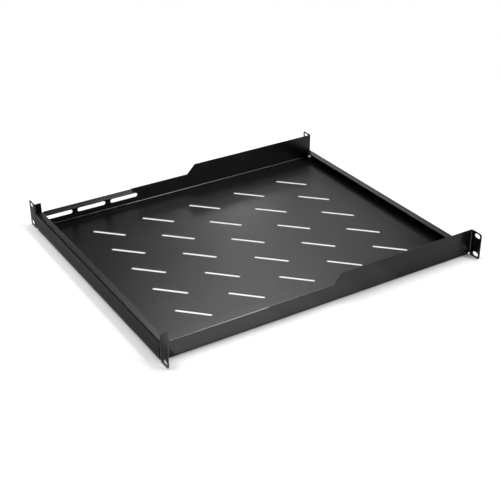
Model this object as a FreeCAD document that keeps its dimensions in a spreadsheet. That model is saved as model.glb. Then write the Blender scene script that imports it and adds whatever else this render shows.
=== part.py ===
import FreeCAD, Part
import math
import os

import Sketcher
from FreeCAD import Vector

# A one-unit rack shelf, folded from one sheet of steel: a slotted floor, four upturned walls,
# turned-in lips along their tops, and four ears folded out of the side walls' ends.
#
# X runs across the shelf, Y from the front ears to the rear ears, and Z up. Inside the body the
# ears' front face is at Y = 0; the body's Placement then puts the origin at the middle of the
# floor's underside. All lengths are millimetres.

SIZES = {
    # The rack's own spacings.
    "panel_span": 482.6,
    "hole_inset": 8.75,
    "hole_spacing_up": 31.75,
    # The sheet and its folds.
    "sheet_thickness": 1.5,
    "bend_inside_radius": 1.0,
    # The tray.
    "shelf_depth": 546.5,
    "rear_wall_set_in": 1.5,
    "front_height": 29.5,
    "side_height": 28.2,
    "rear_height": 15.0,
    "front_lip_width": 11.6,
    "side_lip_width": 14.5,
    "rear_lip_width": 12.0,
    "end_wall_gap": 2.0,
    # The side walls' skyline, measured back from the ears' front face.
    "front_tab_depth": 12.0,
    "side_lip_start": 14.0,
    "side_lip_end": 171.0,
    "lip_slit": 1.5,
    "slope_foot": 283.0,
    "slope_run": 15.5,
    "tab_corner_radius": 1.5,
    # The ears.
    "ear_reach": 21.3,
    "ear_height": 44.0,
    "ear_corner_radius": 4.0,
    "ear_slot_length": 11.3,
    "ear_slot_width": 7.0,
    # The round reliefs where two bends meet.
    "relief_radius": 3.0,
    "relief_height": 3.5,
    # The floor's slanting slots.
    "floor_slot_length": 56.2,
    "floor_slot_width": 6.2,
    "floor_slot_angle": 45.0,
    "floor_slot_pitch_across": 70.0,
    "floor_slot_pitch_deep": 89.0,
    "floor_slot_columns": 5,
    "floor_slot_rows": 5,
    # The left wall's long slots.
    "wall_slot_length": 50.6,
    "wall_slot_width": 6.8,
    "wall_slot_first": 39.3,
    "wall_slot_pitch": 60.0,
    "wall_slot_level": 14.6,
    "wall_slot_count": 3,
}

# Places worked out from the sizes, as expressions that the features are bound to.
THICKNESS = "Sizes.sheet_thickness"
BEND_INSIDE = "Sizes.bend_inside_radius"
BEND_OUTSIDE = "(Sizes.bend_inside_radius + Sizes.sheet_thickness)"
HALF_PANEL = "(Sizes.panel_span / 2)"
HALF_WIDTH = f"({HALF_PANEL} - Sizes.ear_reach)"
HALF_HOLE_SPAN = f"({HALF_PANEL} - Sizes.hole_inset)"
END_WALL_LENGTH = f"(2 * ({HALF_WIDTH} - Sizes.sheet_thickness - Sizes.end_wall_gap))"
REAR_FACE = "(Sizes.shelf_depth - Sizes.rear_wall_set_in)"
LIP_FOLD_LEVEL = f"(Sizes.side_height - {BEND_OUTSIDE})"
OVERLAP = f"(2 * {BEND_OUTSIDE})"
ABOVE_ALL = "(Sizes.ear_height + Sizes.sheet_thickness)"

# How a straight run of a section is constrained, and how far off it lies.
STRAIGHT = {"upright": "Vertical", "level": "Horizontal"}
DISTANCE_OFF = {"upright": "DistanceX", "level": "DistanceY"}
QUARTER_TURN = math.pi / 2

# How a sketch names its own axes, and the start, end and centre of an element.
AXES = -1
START = 1
END = 2
CENTRE = 3

# How near is touching.
TOUCH = 0.001

doc = FreeCAD.newDocument("rack_shelf")
sheet = doc.addObject("Spreadsheet::Sheet", "Sizes")
for row, (alias, number) in enumerate(SIZES.items(), start=1):
    sheet.set(f"A{row}", alias)
    sheet.set(f"B{row}", str(number))
    sheet.setAlias(f"B{row}", alias)
doc.recompute()

body = doc.addObject("PartDesign::Body", "shelf")
body.Label = "folded_shelf"


def value(expression):
    """The number that an expression on the sheet's cells gives now."""
    return float(body.evalExpression(expression))


def origin_object(role):
    """The body's own origin plane or axis with this role."""
    return next(item for item in body.Origin.OriginFeatures if item.Role == role)


def new_sketch(name, role, offset=None):
    """A sketch on one of the body's origin planes, moved along the plane's normal by offset."""
    sketch = body.newObject("Sketcher::SketchObject", name)
    sketch.AttachmentSupport = (origin_object(role), [""])
    sketch.MapMode = "FlatFace"
    if offset:
        sketch.setExpression("AttachmentOffset.Base.z", offset)
    return sketch


def constrain(sketch, kind, *where):
    """Adds a geometric constraint to a sketch."""
    sketch.addConstraint(Sketcher.Constraint(kind, *where))


def bind(sketch, kind, *where, expression):
    """Adds a dimension to a sketch and binds it to the expression."""
    index = sketch.addConstraint(Sketcher.Constraint(kind, *where, value(expression)))
    sketch.setExpression(f"Constraints[{index}]", expression)


def place_point(sketch, element, end, across, up):
    """Locates a point of a sketch from the sketch's origin."""
    bind(sketch, "DistanceX", AXES, START, element, end, expression=across)
    bind(sketch, "DistanceY", AXES, START, element, end, expression=up)


def draw_polygon(sketch, corners):
    """A closed outline of straight lines, each corner given by two expressions."""
    points = [Vector(value(across), value(up), 0) for across, up in corners]
    following = points[1:] + points[:1]
    lines = [sketch.addGeometry(Part.LineSegment(a, b)) for a, b in zip(points, following)]
    for line, next_line in zip(lines, lines[1:] + lines[:1]):
        constrain(sketch, "Coincident", line, END, next_line, START)
    for line, (across, up) in zip(lines, corners):
        place_point(sketch, line, START, across, up)


def draw_circle(sketch, across, up, radius):
    """A circle located from the sketch's origin."""
    centre = Vector(value(across), value(up), 0)
    circle = sketch.addGeometry(Part.Circle(centre, Vector(0, 0, 1), value(radius)))
    place_point(sketch, circle, CENTRE, across, up)
    bind(sketch, "Radius", circle, expression=radius)


def draw_slot(sketch, across, up, length, width, angle="0"):
    """A round-ended slot about a centre, turned by angle from the sketch's X axis."""
    turn = math.radians(value(angle))
    along = Vector(math.cos(turn), math.sin(turn), 0)
    side = Vector(-math.sin(turn), math.cos(turn), 0)
    half_run = f"(({length}) - ({width})) / 2"
    radius = f"({width}) / 2"
    middle = Vector(value(across), value(up), 0)
    near = middle - along * value(half_run)
    far = middle + along * value(half_run)
    lift = side * value(radius)

    def end_arc(centre, start):
        circle = Part.Circle(centre, Vector(0, 0, 1), value(radius))
        return sketch.addGeometry(Part.ArcOfCircle(circle, start, start + 2 * QUARTER_TURN))

    far_arc = end_arc(far, turn - QUARTER_TURN)
    upper = sketch.addGeometry(Part.LineSegment(far + lift, near + lift))
    near_arc = end_arc(near, turn + QUARTER_TURN)
    lower = sketch.addGeometry(Part.LineSegment(near - lift, far - lift))
    joints = [(far_arc, upper), (upper, near_arc), (near_arc, lower), (lower, far_arc)]
    for first, second in joints:
        constrain(sketch, "Tangent", first, END, second, START)
    constrain(sketch, "Equal", far_arc, near_arc)
    bind(sketch, "Radius", far_arc, expression=radius)
    for arc, sign in ((far_arc, "+"), (near_arc, "-")):
        step_across = f"({across}) {sign} {half_run} * cos(({angle}) * 1 deg)"
        step_up = f"({up}) {sign} {half_run} * sin(({angle}) * 1 deg)"
        place_point(sketch, arc, CENTRE, step_across, step_up)


def draw_folded_sheet(sketch, start, runs, end):
    """The section of a folded sheet: straight runs joined by right-angled bends.

    Each run is upright or level, and says where its right-hand face lies as the section is
    travelled; start and end say where the first run begins and the last one stops. The other
    face lies one thickness to the left.
    """
    ways = [way for way, _ in runs]
    lies = [value(where) for _, where in runs]
    crossings = [value(start)] + lies[:-1]

    def on_run(index, crossing):
        upright = ways[index] == "upright"
        return Vector(lies[index], crossing, 0) if upright else Vector(crossing, lies[index], 0)

    right_corners = [on_run(index, crossing) for index, crossing in enumerate(crossings)]
    right_corners.append(on_run(len(runs) - 1, value(end)))
    headings = [(b - a).normalize() for a, b in zip(right_corners, right_corners[1:])]
    beside = [Vector(-heading.y, heading.x, 0) * value(THICKNESS) for heading in headings]
    steps = [beside[0]] + [a + b for a, b in zip(beside, beside[1:])] + [beside[-1]]
    left_corners = [corner + step for corner, step in zip(right_corners, steps)]

    right_lines, right_arcs = draw_folded_face(sketch, right_corners, headings, False)
    left_lines, left_arcs = draw_folded_face(sketch, left_corners, headings, True)
    for right_arc, left_arc in zip(right_arcs, left_arcs):
        constrain(sketch, "Coincident", right_arc, CENTRE, left_arc, CENTRE)
    for line, (way, where) in zip(right_lines, runs):
        constrain(sketch, STRAIGHT[way], line)
        bind(sketch, DISTANCE_OFF[way], AXES, START, line, START, expression=where)
    for index, point, where in ((0, START, start), (-1, END, end)):
        way = ways[index]
        crossing_way = "level" if way == "upright" else "upright"
        right, left = right_lines[index], left_lines[index]
        edge = Part.LineSegment(sketch.getPoint(right, point), sketch.getPoint(left, point))
        cap = sketch.addGeometry(edge)
        constrain(sketch, "Coincident", right, point, cap, START)
        constrain(sketch, "Coincident", left, point, cap, END)
        constrain(sketch, STRAIGHT[way], left)
        constrain(sketch, STRAIGHT[crossing_way], cap)
        bind(sketch, DISTANCE_OFF[crossing_way], AXES, START, right, point, expression=where)


def draw_folded_face(sketch, corners, headings, is_left):
    """One face of a folded sheet's section: lines between the corners, rounded by arcs."""
    turns = [before.cross(after).z for before, after in zip(headings, headings[1:])]
    radii = [BEND_INSIDE if (turn > 0) == is_left else BEND_OUTSIDE for turn in turns]
    trims = [0.0] + [value(radius) for radius in radii] + [0.0]
    lines = []
    for index, heading in enumerate(headings):
        begin = corners[index] + heading * trims[index]
        finish = corners[index + 1] - heading * trims[index + 1]
        lines.append(sketch.addGeometry(Part.LineSegment(begin, finish)))
    arcs = []
    for index, (turn, radius) in enumerate(zip(turns, radii)):
        before, after = headings[index], headings[index + 1]
        size = value(radius)
        centre = corners[index + 1] - before * size + after * size
        outward = -after if turn > 0 else before
        begin_angle = math.atan2(outward.y, outward.x)
        circle = Part.Circle(centre, Vector(0, 0, 1), size)
        arc = sketch.addGeometry(Part.ArcOfCircle(circle, begin_angle, begin_angle + QUARTER_TURN))
        entry, leaving = (START, END) if turn > 0 else (END, START)
        constrain(sketch, "Tangent", lines[index], END, arc, entry)
        constrain(sketch, "Tangent", arc, leaving, lines[index + 1], START)
        bind(sketch, "Radius", arc, expression=radius)
        arcs.append(arc)
    return lines, arcs


def extrude(kind, name, sketch, length, reverse=False, symmetric=False):
    """A Pad or a Pocket that runs a sketch's outline out to a length."""
    feature = body.newObject(f"PartDesign::{kind}", name)
    feature.Profile = sketch
    feature.setExpression("Length", length)
    feature.Reversed = reverse
    if symmetric:
        feature.SideType = "Symmetric"
    body.Tip = feature
    return feature


def mirror(name, features, *planes):
    """Repeats features across one plane, or across two planes in turn."""
    copies = body.newObject("PartDesign::MultiTransform", name)
    mirrors = []
    for plane in planes:
        step = body.newObject("PartDesign::Mirrored", f"{name}_across_{plane.Name}")
        step.MirrorPlane = (plane, [""])
        mirrors.append(step)
    copies.Originals = features
    copies.Transformations = mirrors
    body.Tip = copies
    return copies


def edges_where(shape, test):
    """The names of a shape's edges whose middle and direction pass a test."""
    names = []
    for number, edge in enumerate(shape.Edges, start=1):
        if edge.Curve.TypeId != "Part::GeomLine":
            continue
        along = edge.tangentAt(edge.FirstParameter)
        if test(edge.CenterOfMass, along):
            names.append(f"Edge{number}")
    return names


def round_edges(name, radius, test):
    """A fillet on every straight edge that passes a test."""
    doc.recompute()
    base = body.Tip
    feature = body.newObject("PartDesign::Fillet", name)
    feature.Base = (base, edges_where(base.Shape, test))
    feature.setExpression("Radius", radius)
    body.Tip = feature
    return feature


# The floor and both side walls, as one channel between the end bends.
channel = new_sketch("channel_section", "XZ_Plane", f"-{BEND_OUTSIDE}")
channel_runs = [("upright", f"-{HALF_WIDTH}"), ("level", "0"), ("upright", HALF_WIDTH)]
draw_folded_sheet(channel, "Sizes.ear_height", channel_runs, "Sizes.ear_height")
extrude("Pad", "floor_and_sides", channel, f"Sizes.shelf_depth - 2 * {BEND_OUTSIDE}", reverse=True)

# The side walls' skyline: full height at both ends, low between, with a slope up to the rear.
skyline = new_sketch("skyline_outline", "YZ_Plane")
slope_head = "(Sizes.slope_foot + Sizes.slope_run)"
lip_slit_end = "(Sizes.side_lip_end + Sizes.lip_slit)"
draw_polygon(skyline, [
    ("Sizes.front_tab_depth", LIP_FOLD_LEVEL),
    (lip_slit_end, LIP_FOLD_LEVEL),
    (lip_slit_end, "Sizes.side_height"),
    ("Sizes.slope_foot", "Sizes.side_height"),
    (slope_head, "Sizes.ear_height"),
    (slope_head, ABOVE_ALL),
    ("Sizes.front_tab_depth", ABOVE_ALL),
])
extrude("Pocket", "skyline", skyline, "Sizes.panel_span", symmetric=True)

# A lip turned in along the front part of each side wall.
side_lip = new_sketch("side_lip_section", "XZ_Plane", "-Sizes.side_lip_start")
draw_folded_sheet(
    side_lip,
    f"{LIP_FOLD_LEVEL} - Sizes.sheet_thickness",
    [("upright", HALF_WIDTH), ("level", "Sizes.side_height")],
    f"{HALF_WIDTH} - Sizes.side_lip_width",
)
right_lip = extrude(
    "Pad", "right_lip", side_lip, "Sizes.side_lip_end - Sizes.side_lip_start", reverse=True
)
mirror("both_side_lips", [right_lip], origin_object("YZ_Plane"))

# The front wall, folded up from the floor, with its lip turned back over the tray.
front = new_sketch("front_wall_section", "YZ_Plane")
draw_folded_sheet(
    front,
    "Sizes.front_lip_width",
    [("level", "Sizes.front_height"), ("upright", "0"), ("level", "0")],
    OVERLAP,
)
extrude("Pad", "front_wall", front, END_WALL_LENGTH, symmetric=True)

# The rear wall, lower, with its lip turned forward over the tray.
rear = new_sketch("rear_wall_section", "YZ_Plane")
draw_folded_sheet(
    rear,
    f"{REAR_FACE} - {OVERLAP}",
    [("level", "0"), ("upright", REAR_FACE), ("level", "Sizes.rear_height")],
    f"{REAR_FACE} - Sizes.rear_lip_width",
)
extrude("Pad", "rear_wall", rear, END_WALL_LENGTH, symmetric=True)

# One ear folded out of a side wall's front end, with its corner relief and two slotted holes.
middle_plane = body.newObject("PartDesign::Plane", "middle_of_depth")
middle_plane.AttachmentSupport = (origin_object("XZ_Plane"), [""])
middle_plane.MapMode = "FlatFace"
middle_plane.setExpression("AttachmentOffset.Base.z", "-Sizes.shelf_depth / 2")

ear = new_sketch("ear_section", "XY_Plane")
draw_folded_sheet(
    ear,
    OVERLAP,
    [("upright", f"{HALF_WIDTH} - Sizes.sheet_thickness"), ("level", "0")],
    HALF_PANEL,
)
ear_pad = extrude("Pad", "ear", ear, "Sizes.ear_height")

relief = new_sketch("relief_outline", "XY_Plane")
relief_centre = f"{HALF_WIDTH} - {BEND_OUTSIDE}"
draw_circle(relief, relief_centre, BEND_OUTSIDE, "Sizes.relief_radius")
relief_cut = extrude("Pocket", "corner_relief", relief, "Sizes.relief_height", reverse=True)

ear_slots = new_sketch("ear_slot_outlines", "XZ_Plane")
for sign in ("-", "+"):
    slot_level = f"Sizes.ear_height / 2 {sign} Sizes.hole_spacing_up / 2"
    draw_slot(ear_slots, HALF_HOLE_SPAN, slot_level,
              "Sizes.ear_slot_length", "Sizes.ear_slot_width")
slots_cut = extrude("Pocket", "ear_slots", ear_slots, OVERLAP)
mirror("four_ears", [ear_pad, relief_cut, slots_cut], origin_object("YZ_Plane"), middle_plane)

# The floor's slanting slots, in columns and rows centred on the tray.
floor_slot = new_sketch("floor_slot_outline", "XY_Plane")
columns_span = "(Sizes.floor_slot_columns - 1) * Sizes.floor_slot_pitch_across"
rows_span = "(Sizes.floor_slot_rows - 1) * Sizes.floor_slot_pitch_deep"
draw_slot(floor_slot, f"-({columns_span}) / 2", f"({REAR_FACE} - {rows_span}) / 2",
          "Sizes.floor_slot_length", "Sizes.floor_slot_width", "Sizes.floor_slot_angle")
first_slot = extrude("Pocket", "floor_slot", floor_slot, OVERLAP, reverse=True)
floor_slots = body.newObject("PartDesign::LinearPattern", "floor_slots")
floor_slots.Originals = [first_slot]
floor_slots.Direction = (origin_object("X_Axis"), [""])
floor_slots.setExpression("Length", columns_span)
floor_slots.setExpression("Occurrences", "Sizes.floor_slot_columns")
floor_slots.Direction2 = (origin_object("Y_Axis"), [""])
floor_slots.setExpression("Length2", rows_span)
floor_slots.setExpression("Occurrences2", "Sizes.floor_slot_rows")
body.Tip = floor_slots

# The left wall's long slots, under its lip.
wall_slot = new_sketch("wall_slot_outline", "YZ_Plane", f"-{HALF_WIDTH}")
draw_slot(wall_slot, "Sizes.wall_slot_first", "Sizes.wall_slot_level",
          "Sizes.wall_slot_length", "Sizes.wall_slot_width")
first_wall_slot = extrude("Pocket", "wall_slot", wall_slot, OVERLAP, reverse=True)
wall_slots = body.newObject("PartDesign::LinearPattern", "wall_slots")
wall_slots.Originals = [first_wall_slot]
wall_slots.Direction = (origin_object("Y_Axis"), [""])
wall_slots.setExpression("Length", "(Sizes.wall_slot_count - 1) * Sizes.wall_slot_pitch")
wall_slots.setExpression("Occurrences", "Sizes.wall_slot_count")
body.Tip = wall_slots

# Rounded corners: the ears' outer ones, and the top of each front tab.
corner_levels = (0.0, value("Sizes.ear_height"))
ear_edge = value(HALF_PANEL)
round_edges("ear_corners", "Sizes.ear_corner_radius", lambda middle, along: (
    math.hypot(along.x, along.z) < TOUCH
    and math.isclose(abs(middle.x), ear_edge, abs_tol=TOUCH)
    and any(math.isclose(middle.z, level, abs_tol=TOUCH) for level in corner_levels)
))
tab_back = value("Sizes.front_tab_depth")
round_edges("tab_corners", "Sizes.tab_corner_radius", lambda middle, along: (
    math.hypot(along.y, along.z) < TOUCH
    and math.isclose(middle.y, tab_back, abs_tol=TOUCH)
    and math.isclose(middle.z, corner_levels[1], abs_tol=TOUCH)
))

# The body's origin moves to the middle of the floor's underside.
body.setExpression("Placement.Base.y", "-Sizes.shelf_depth / 2")
doc.recompute()

for item in doc.Objects:
    if "Invalid" in item.State or "Error" in item.State:
        raise RuntimeError(f"{item.Name} failed: {item.State}")
    if item.TypeId == "PartDesign::Pocket" and item.Shape.Volume > item.BaseFeature.Shape.Volume - TOUCH:
        raise RuntimeError(f"{item.Name} cuts nothing")
parts = [item for item in doc.Objects if item.TypeId == "PartDesign::Body"]
for part in parts:
    if part.Shape.isNull() or not part.Shape.isValid():
        raise RuntimeError(f"{part.Label} has no valid shape")

os.makedirs("parts", exist_ok=True)
for part in parts:
    part.Shape.exportStep(f"parts/{part.Label}.step")
    bounds = part.Shape.BoundBox
    print(f"{part.Label}: {bounds.XLength:.2f} x {bounds.YLength:.2f} x {bounds.ZLength:.2f} mm, "
          f"{part.Shape.Volume / 1000:.1f} cm3, {len(part.Shape.Solids)} solid")
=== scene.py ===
import math

import bmesh
import bpy
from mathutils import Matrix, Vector
from mathutils.bvhtree import BVHTree


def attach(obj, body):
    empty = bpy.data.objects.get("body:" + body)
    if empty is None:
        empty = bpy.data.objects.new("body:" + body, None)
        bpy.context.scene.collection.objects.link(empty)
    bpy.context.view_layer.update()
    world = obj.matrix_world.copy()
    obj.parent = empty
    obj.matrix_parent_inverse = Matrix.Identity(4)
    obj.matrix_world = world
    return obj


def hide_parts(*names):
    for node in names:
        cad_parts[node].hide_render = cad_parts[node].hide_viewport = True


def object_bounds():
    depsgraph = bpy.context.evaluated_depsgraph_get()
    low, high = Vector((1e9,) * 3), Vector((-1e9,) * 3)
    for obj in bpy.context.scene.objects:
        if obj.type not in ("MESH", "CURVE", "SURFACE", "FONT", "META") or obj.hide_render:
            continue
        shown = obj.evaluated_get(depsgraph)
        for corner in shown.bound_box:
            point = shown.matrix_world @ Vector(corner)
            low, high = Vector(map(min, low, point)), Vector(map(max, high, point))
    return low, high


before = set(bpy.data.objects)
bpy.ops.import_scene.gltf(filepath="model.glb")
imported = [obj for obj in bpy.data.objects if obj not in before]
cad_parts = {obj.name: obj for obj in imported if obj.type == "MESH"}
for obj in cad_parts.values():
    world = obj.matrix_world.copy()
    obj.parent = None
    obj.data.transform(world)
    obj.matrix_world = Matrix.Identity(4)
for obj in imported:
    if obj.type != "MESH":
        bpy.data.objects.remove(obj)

# The looks of a rack shelf folded from one steel sheet: satin black powder coat on a pale floor.
# Metres, in the frame's own axes: X across the shelf, Y from front to rear, Z up.

cad_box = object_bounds()
cad_low, cad_high = cad_box
ORIGIN = Vector((0, 0, 0))
NODE = "folded_shelf"
MM = 0.001

# The photograph's view: where the camera aims, and how it stands from there.
CAMERA_AIM = Vector((0.0569, -0.0323, 0.0200))
CAMERA_AZIMUTH = math.radians(-31.908)
CAMERA_ELEVATION = math.radians(29.400)
CAMERA_DISTANCE = 1.5869
CAMERA_LENS = 74.075

# The sheet's cut edges, softened by deburring and the coat.
EDGE_ROUND = 0.35 * MM
EDGE_SEGMENTS = 2
SHARP_ANGLE = math.radians(40)
WELD = 0.002 * MM

# The lips' small errors from square: for each, its top, how far it reaches in from the face of
# the wall that it folds from, with a little to spare, and how far it droops.
SHEET = 1.5 * MM
BEND = 2.5 * MM
TOUCH = 0.1 * MM
LEFT_FACE = -220.0 * MM
FRONT_FACE = cad_low[1]
REAR_FACE = cad_high[1] - SHEET
LIPS = {
    "left": {"top": 28.2 * MM, "reach": 15.0 * MM, "slope": math.radians(4.5)},
    "front": {"top": 29.5 * MM, "reach": 12.0 * MM, "slope": math.radians(3.0)},
    "rear": {"top": 15.0 * MM, "reach": 12.5 * MM, "slope": math.radians(5.0)},
}

# The powder coat: its darkest and lightest tone, its gloss on flats and on bends, and its grain.
COAT_TONES = ((0.0021, 0.0021, 0.0022, 1.0), (0.0035, 0.0035, 0.0037, 1.0))
COAT_GLOSS = (0.21, 1.0)
COAT_ROUGHNESS = (0.24, 0.29)
SQUARE_TO_AXIS = 0.98
WELL_INTO_BEND = 0.85
CLOUD_SCALE = 9.0
GRAIN_SCALE = 1100.0
PEEL_SCALE = 260.0
PEEL_SHARE = 0.35
BUMP_STRENGTH = 0.35
BUMP_DEPTH = 0.05 * MM

# The floor, which fades out between two distances from the shelf, and the surround beyond it.
FLOOR_TONE = (0.9, 0.9, 0.9, 1.0)
FLOOR_ROUGHNESS = 0.9
FLOOR_GLOSS = 0.1
FLOOR_HALF = 1.2
FLOOR_FADE = (0.55, 1.1)
FLOOR_GAP = 0.2 * MM
WHITE = (1.0, 1.0, 1.0, 1.0)
SURROUND_LIGHT = 0.04
SURROUND_SEEN = 1.0

LAMP_DISTANCE = 2.6

# The pale cards lie beside the right wall. They start together at the front and end one by one.
PALE_CARD_RADIANCE = 0.42
PALE_CARD_WIDTH = 0.4
PALE_CARD_MIDDLE = cad_high[0] + 0.181
PALE_CARD_FRONT = -0.25
PALE_CARD_ENDS = (-0.08, -0.01, 0.06, 0.13)
PALE_CARD_LEVEL = 1.0 * MM
PALE_CARD_LIFT = 0.1 * MM

# The dark card lies before the front wall.
DARK_CARD_TONE = (0.36, 0.36, 0.36, 1.0)
DARK_CARD_LOW = (cad_low[0] - 1.5, cad_low[1] - 0.9)
DARK_CARD_HIGH = (cad_high[0] + 0.1, cad_low[1] - 2 * MM)
DARK_CARD_LEVEL = cad_low[2] + 0.3 * MM


def towards(azimuth, elevation):
    """The unit vector that points this way round from X and up from the floor."""
    return Vector((
        math.cos(elevation) * math.cos(azimuth),
        math.cos(elevation) * math.sin(azimuth),
        math.sin(elevation),
    ))


def aim(item, target):
    """Turns a camera or a lamp to face a point, level with the floor."""
    item.rotation_euler = (target - item.location).to_track_quat("-Z", "Y").to_euler()


def new_object(name, data):
    """An object for some data, in the scene's collection."""
    item = bpy.data.objects.new(name, data)
    bpy.context.scene.collection.objects.link(item)
    return item


def level_rectangle(name, low, high, level):
    """A flat rectangle between two corners, at one height."""
    mesh = bpy.data.meshes.new(name)
    corners = [(low[0], low[1]), (high[0], low[1]), (high[0], high[1]), (low[0], high[1])]
    mesh.from_pydata([(x, y, level) for x, y in corners], [], [range(4)])
    return new_object(name, mesh)


def new_material(name):
    """A material with its node tree and its shader."""
    material = bpy.data.materials.new(name)
    material.use_nodes = True
    return material, material.node_tree, material.node_tree.nodes["Principled BSDF"]


def mix_shaders(tree, factor, first, second):
    """A shader that goes from the first to the second as the factor goes from 0 to 1."""
    either = tree.nodes.new("ShaderNodeMixShader")
    tree.links.new(factor, either.inputs["Fac"])
    tree.links.new(first, either.inputs[1])
    tree.links.new(second, either.inputs[2])
    return either.outputs["Shader"]


def map_range(tree, value, from_ends, to_ends, curve="LINEAR"):
    """A value carried from one range to another."""
    ramp = tree.nodes.new("ShaderNodeMapRange")
    ramp.interpolation_type = curve
    ramp.inputs["From Min"].default_value, ramp.inputs["From Max"].default_value = from_ends
    ramp.inputs["To Min"].default_value, ramp.inputs["To Max"].default_value = to_ends
    tree.links.new(value, ramp.inputs["Value"])
    return ramp.outputs["Result"]


def noise(tree, place, scale, detail):
    """Noise in the object's own space."""
    texture = tree.nodes.new("ShaderNodeTexNoise")
    texture.inputs["Scale"].default_value = scale
    texture.inputs["Detail"].default_value = detail
    tree.links.new(place.outputs["Object"], texture.inputs["Vector"])
    return texture.outputs["Fac"]


def greater(tree, first, second):
    """The greater of two values."""
    choice = tree.nodes.new("ShaderNodeMath")
    choice.operation = "MAXIMUM"
    tree.links.new(first, choice.inputs[0])
    tree.links.new(second, choice.inputs[1])
    return choice.outputs["Value"]


def make_camera():
    """The photograph's camera."""
    data = bpy.data.cameras.new("camera")
    data.lens = CAMERA_LENS
    camera = new_object("camera", data)
    camera.location = CAMERA_AIM + towards(CAMERA_AZIMUTH, CAMERA_ELEVATION) * CAMERA_DISTANCE
    aim(camera, CAMERA_AIM)
    bpy.context.scene.camera = camera


def softbox(name, azimuth, elevation, size, watts, roll=0.0):
    """A flat lamp that faces the shelf from one side. Its angles are in degrees."""
    data = bpy.data.lights.new(name, "AREA")
    data.shape = "RECTANGLE"
    data.size, data.size_y = size
    data.energy = watts
    lamp = new_object(name, data)
    lamp.location = towards(math.radians(azimuth), math.radians(elevation)) * LAMP_DISTANCE
    aim(lamp, ORIGIN)
    lamp.rotation_euler.rotate_axis("Z", math.radians(roll))


def make_world():
    """A surround that the camera sees as white, but that lights the shelf only a little."""
    world = bpy.data.worlds.new("surround")
    world.use_nodes = True
    tree = world.node_tree
    light = tree.nodes["Background"]
    light.inputs["Color"].default_value = WHITE
    light.inputs["Strength"].default_value = SURROUND_LIGHT
    backdrop = tree.nodes.new("ShaderNodeBackground")
    backdrop.inputs["Color"].default_value = WHITE
    backdrop.inputs["Strength"].default_value = SURROUND_SEEN
    seen = tree.nodes.new("ShaderNodeLightPath").outputs["Is Camera Ray"]
    surround = mix_shaders(tree, seen, light.outputs["Background"], backdrop.outputs["Background"])
    tree.links.new(surround, tree.nodes["World Output"].inputs["Surface"])
    bpy.context.scene.world = world


def make_floor():
    """A plain pale floor, which fades out towards the surround."""
    corner = (FLOOR_HALF, FLOOR_HALF)
    floor = level_rectangle("floor", (-FLOOR_HALF, -FLOOR_HALF), corner, cad_low[2] - FLOOR_GAP)
    material, tree, shader = new_material("pale_floor")
    shader.inputs["Base Color"].default_value = FLOOR_TONE
    shader.inputs["Roughness"].default_value = FLOOR_ROUGHNESS
    shader.inputs["Specular IOR Level"].default_value = FLOOR_GLOSS
    place = tree.nodes.new("ShaderNodeTexCoord")
    distance = tree.nodes.new("ShaderNodeVectorMath")
    distance.operation = "LENGTH"
    tree.links.new(place.outputs["Object"], distance.inputs[0])
    fade = map_range(tree, distance.outputs["Value"], FLOOR_FADE, (0.0, 1.0), "SMOOTHSTEP")
    clear = tree.nodes.new("ShaderNodeBsdfTransparent")
    surface = mix_shaders(tree, fade, shader.outputs["BSDF"], clear.outputs["BSDF"])
    tree.links.new(surface, tree.nodes["Material Output"].inputs["Surface"])
    floor.data.materials.append(material)


def make_pale_cards():
    """Lamps that lie face up beside the right wall and show in it, but not to the camera."""
    for step, end in enumerate(PALE_CARD_ENDS):
        data = bpy.data.lights.new(f"white_card_{step}", "AREA")
        data.shape = "RECTANGLE"
        data.size, data.size_y = PALE_CARD_WIDTH, end - PALE_CARD_FRONT
        data.energy = PALE_CARD_RADIANCE * math.pi * data.size * data.size_y
        card = new_object(f"white_card_{step}", data)
        card.location = (
            PALE_CARD_MIDDLE,
            (PALE_CARD_FRONT + end) / 2,
            PALE_CARD_LEVEL + step * PALE_CARD_LIFT,
        )
        card.rotation_euler = (math.pi, 0, 0)
        card.visible_camera = False


def make_dark_card():
    """A card that lies before the front wall and shows in it, but not to the camera."""
    card = level_rectangle("black_card", DARK_CARD_LOW, DARK_CARD_HIGH, DARK_CARD_LEVEL)
    material, _, shader = new_material("dark_card")
    shader.inputs["Base Color"].default_value = DARK_CARD_TONE
    shader.inputs["Roughness"].default_value = 1.0
    card.data.materials.append(material)
    card.visible_camera = False
    card.visible_shadow = False
    card.visible_diffuse = False


def coat_gloss(tree, place):
    """The coat's gloss, higher on the bends: there no axis is square to the sheet."""
    upright = tree.nodes.new("ShaderNodeVectorMath")
    upright.operation = "ABSOLUTE"
    tree.links.new(place.outputs["Normal"], upright.inputs[0])
    parts = tree.nodes.new("ShaderNodeSeparateXYZ")
    tree.links.new(upright.outputs["Vector"], parts.inputs["Vector"])
    level = greater(tree, parts.outputs["X"], parts.outputs["Y"])
    squareness = greater(tree, level, parts.outputs["Z"])
    return map_range(tree, squareness, (SQUARE_TO_AXIS, WELL_INTO_BEND), COAT_GLOSS)


def coat_relief(tree, place):
    """The coat's fine grain and its slightly wider peel, as a bump."""
    relief = tree.nodes.new("ShaderNodeMix")
    relief.inputs["Factor"].default_value = PEEL_SHARE
    tree.links.new(noise(tree, place, GRAIN_SCALE, 2.0), relief.inputs["A"])
    tree.links.new(noise(tree, place, PEEL_SCALE, 1.0), relief.inputs["B"])
    bump = tree.nodes.new("ShaderNodeBump")
    bump.inputs["Strength"].default_value = BUMP_STRENGTH
    bump.inputs["Distance"].default_value = BUMP_DEPTH
    tree.links.new(relief.outputs["Result"], bump.inputs["Height"])
    return bump.outputs["Normal"]


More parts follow.
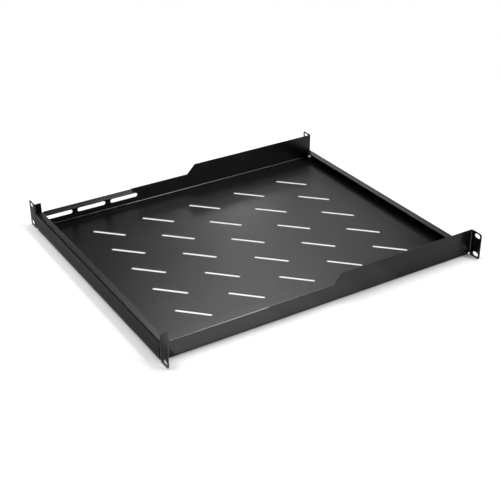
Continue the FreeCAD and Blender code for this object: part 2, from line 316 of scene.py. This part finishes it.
def powder_coat():
    """Satin black powder coat, with slow changes of tone and sheen."""
    material, tree, shader = new_material("satin_black_powder")
    place = tree.nodes.new("ShaderNodeTexCoord")
    clouds = noise(tree, place, CLOUD_SCALE, 3.0)
    tone = tree.nodes.new("ShaderNodeMix")
    tone.data_type = "RGBA"
    tone.inputs["A"].default_value, tone.inputs["B"].default_value = COAT_TONES
    tree.links.new(clouds, tone.inputs["Factor"])
    tree.links.new(tone.outputs["Result"], shader.inputs["Base Color"])
    tree.links.new(coat_gloss(tree, place), shader.inputs["Specular IOR Level"])
    tree.links.new(map_range(tree, clouds, (0.0, 1.0), COAT_ROUGHNESS), shader.inputs["Roughness"])
    tree.links.new(coat_relief(tree, place), shader.inputs["Normal"])
    return material


def slope_lips(edit):
    """Lets each lip's inner edge droop a little from its fold."""
    for vertex in edit.verts:
        place = vertex.co
        inward = {
            "left": place.x - LEFT_FACE,
            "front": place.y - FRONT_FACE,
            "rear": REAR_FACE - place.y,
        }
        for name, lip in LIPS.items():
            below_top = lip["top"] - place.z
            is_in_sheet = -TOUCH < below_top < SHEET + TOUCH
            if is_in_sheet and BEND < inward[name] < lip["reach"]:
                place.z -= (inward[name] - BEND) * math.tan(lip["slope"])
                break


def bring_back(mesh, sheet):
    """Puts back each corner that the rounding threw out, where several short edges meet."""
    for vertex in mesh.vertices:
        nearest, _, _, distance = sheet.find_nearest(vertex.co)
        if distance > EDGE_ROUND:
            vertex.co = nearest
        vertex.co.z = min(vertex.co.z, cad_high[2])


def rounded_copy(node, name):
    """The shelf with its lips sloped and its cut edges rounded."""
    mesh = bpy.data.meshes.new(name)
    edit = bmesh.new()
    edit.from_mesh(node.data)
    bmesh.ops.remove_doubles(edit, verts=edit.verts, dist=WELD)
    slope_lips(edit)
    for face in edit.faces:
        face.smooth = True
    edit.to_mesh(mesh)
    sheet = BVHTree.FromBMesh(edit)
    edit.free()
    item = new_object(name, mesh)
    bevel = item.modifiers.new("edges", "BEVEL")
    bevel.width = EDGE_ROUND
    bevel.segments = EDGE_SEGMENTS
    bevel.limit_method = "ANGLE"
    bevel.angle_limit = SHARP_ANGLE
    bevel.use_clamp_overlap = False
    evaluated = item.evaluated_get(bpy.context.evaluated_depsgraph_get())
    rounded = bpy.data.meshes.new_from_object(evaluated)
    item.modifiers.clear()
    bring_back(rounded, sheet)
    item.data = rounded
    weigh = item.modifiers.new("even_faces", "WEIGHTED_NORMAL")
    weigh.mode = "FACE_AREA"
    weigh.keep_sharp = False
    return item


shelf = rounded_copy(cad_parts[NODE], "shelf_in_powder_coat")
shelf.data.materials.append(powder_coat())
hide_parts(NODE)
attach(shelf, "root")

make_floor()
make_world()
softbox("overhead", azimuth=222, elevation=73, size=(2.0, 2.0), watts=62)
softbox("key_behind", azimuth=149, elevation=44, size=(0.8, 0.8), watts=10)
softbox("rear_kicker", azimuth=141, elevation=32, size=(0.8, 0.8), watts=2.4)
softbox("strip_behind", azimuth=155, elevation=9, size=(2.2, 0.35), watts=10)
softbox("rear_lip_strip", azimuth=150, elevation=18, size=(0.3, 0.25), watts=2.8)
softbox("left_kicker", azimuth=161, elevation=15, size=(0.6, 0.5), watts=1.3)
softbox("right_fill", azimuth=30, elevation=27, size=(0.9, 0.9), watts=22)
softbox("strip_above", azimuth=57.7, elevation=62, size=(2.2, 0.4), watts=27, roll=35.6)
make_pale_cards()
make_dark_card()
make_camera()
bpy.context.scene.view_settings.view_transform = "Standard"
